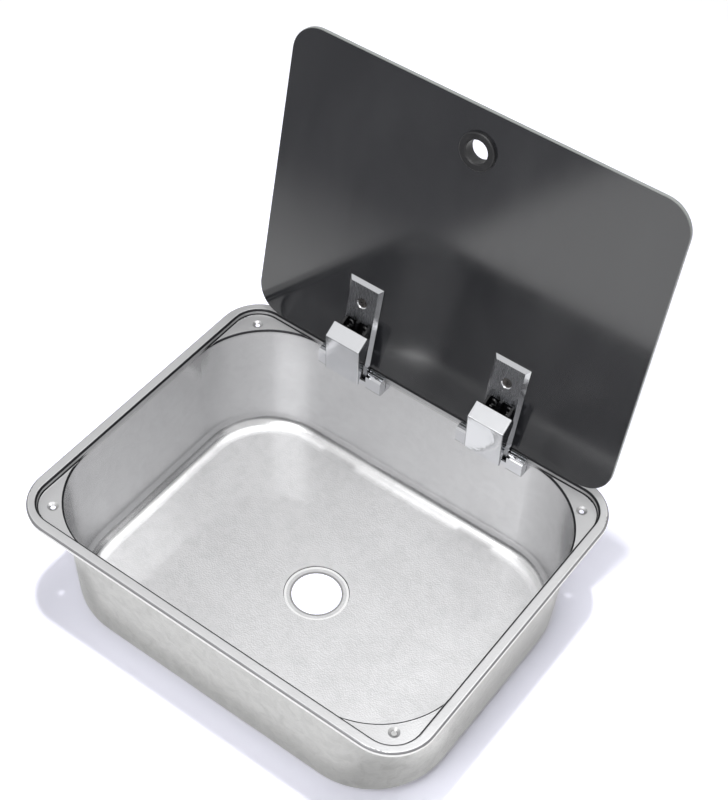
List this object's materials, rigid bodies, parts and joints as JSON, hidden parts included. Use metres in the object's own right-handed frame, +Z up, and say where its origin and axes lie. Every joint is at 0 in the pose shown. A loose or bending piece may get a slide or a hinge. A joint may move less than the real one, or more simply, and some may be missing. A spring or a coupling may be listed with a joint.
{
  "type": "rv sink with glass lid",
  "caption": "Pressed stainless steel inset sink bowl with a hinged smoked glass lid that opens past upright and closes flush inside the rim.",
  "frame": {"origin": "centre of the waste hole, at the underside of the drain seat", "axes": "+Z up out of the bowl, +Y towards the hinges at the back, +X to the right along the hinge line"},
  "size_m": [0.42, 0.3827, 0.4329],
  "materials": {
    "satin_steel": "satin",
    "smoked_glass": "gloss",
    "black_plastic": "matte",
    "chrome": "polished",
    "rubber": "matte",
    "bright_steel": "polished",
    "spring_steel": "satin",
    "clear_nylon": "satin"
  },
  "bodies": {
    "sink": {"sink_bowl": "satin_steel", "hinge_base_left": "chrome", "base_pad_left": "rubber", "hinge_pin_left": "bright_steel", "base_screws_left": "bright_steel", "base_washers_left": "bright_steel", "torsion_spring_left": "spring_steel", "hinge_base_right": "chrome", "base_pad_right": "rubber", "hinge_pin_right": "bright_steel", "base_screws_right": "bright_steel", "base_washers_right": "bright_steel", "torsion_spring_right": "spring_steel"},
    "lid": {"glass_lid": "smoked_glass", "finger_grommet": "black_plastic", "grommet_ring": "black_plastic", "hinge_leaf_left": "chrome", "leaf_gasket_left": "rubber", "leaf_screw_left": "bright_steel", "glass_bush_left": "clear_nylon", "disc_seal_left": "rubber", "outer_disc_left": "chrome", "spring_carrier_left": "black_plastic", "hinge_cap_left": "chrome", "hinge_leaf_right": "chrome", "leaf_gasket_right": "rubber", "leaf_screw_right": "bright_steel", "glass_bush_right": "clear_nylon", "disc_seal_right": "rubber", "outer_disc_right": "chrome", "spring_carrier_right": "black_plastic", "hinge_cap_right": "chrome"}
  },
  "joints": [
    {"name": "lid_hinge", "type": "hinge", "parent": "sink", "child": "lid", "pos_m": [0, 0.1537, 0.129], "axis": [1, 0, 0], "range_deg": [0, 100.7], "stiffness_Nm_per_rad": 0.3, "deforming": ["torsion_spring_left", "torsion_spring_right"]}
  ]
}
